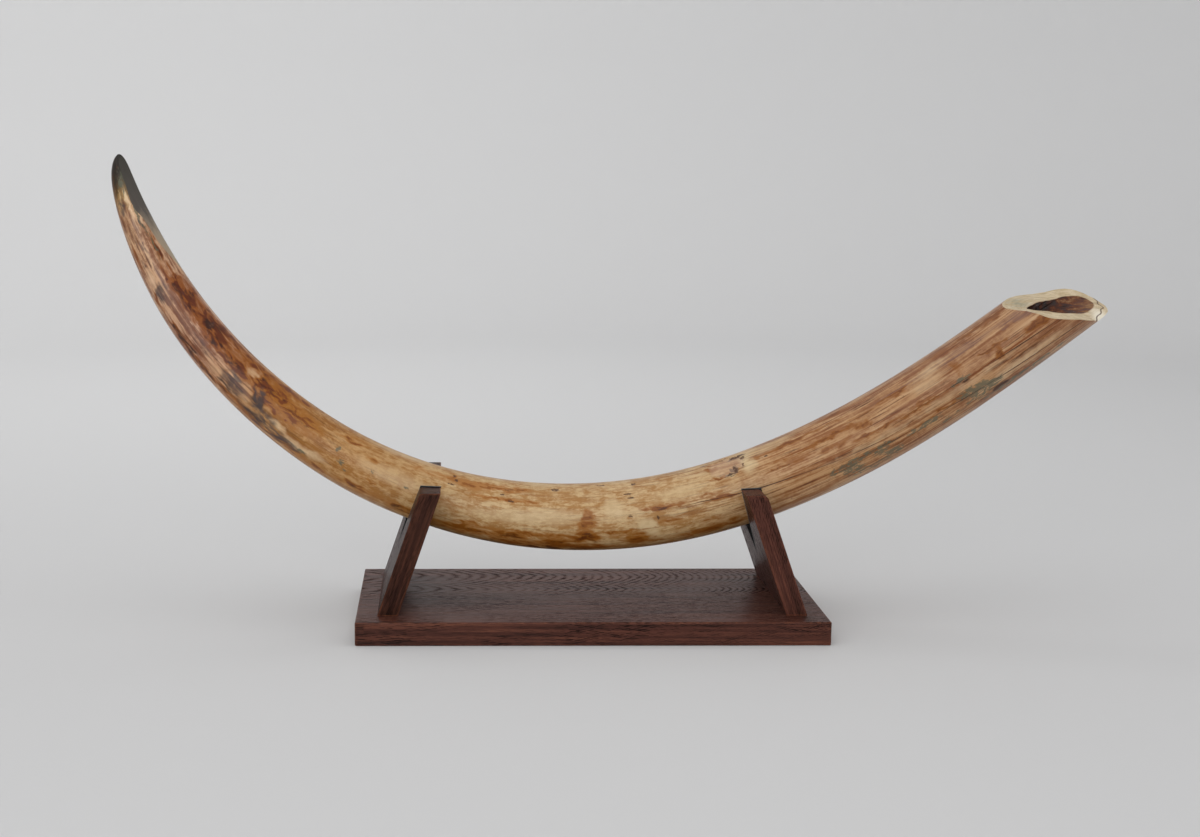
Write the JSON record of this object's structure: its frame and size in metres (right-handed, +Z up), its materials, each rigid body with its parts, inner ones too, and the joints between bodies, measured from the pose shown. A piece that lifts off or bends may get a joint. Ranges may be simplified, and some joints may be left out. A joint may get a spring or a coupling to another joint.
{
  "type": "mammoth tusk on stand",
  "caption": "Curved, tapering mammoth tusk with a worn tip and a hollow sawn butt, lying in the lined V notches of a low wooden display stand.",
  "frame": {"origin": "middle of the base board's underside", "axes": "+Z up, +X along the board towards the sawn butt of the tusk, +Y across the board towards its back"},
  "size_m": [1.0882, 0.23, 0.5089],
  "materials": {
    "mammoth_ivory": "mineral-stained fossil ivory, smooth, low satin polish, sawn and open at the butt",
    "stained_hardwood": "open-grained hardwood, dark brown stain under a thin satin lacquer, worn along the edges",
    "black_felt": "thin matt black felt strip"
  },
  "bodies": {
    "root": {"tusk": "mammoth_ivory", "base_board": "stained_hardwood", "cradle_left": "stained_hardwood", "cradle_right": "stained_hardwood", "lining_left": "black_felt", "lining_right": "black_felt"}
  },
  "joints": []
}
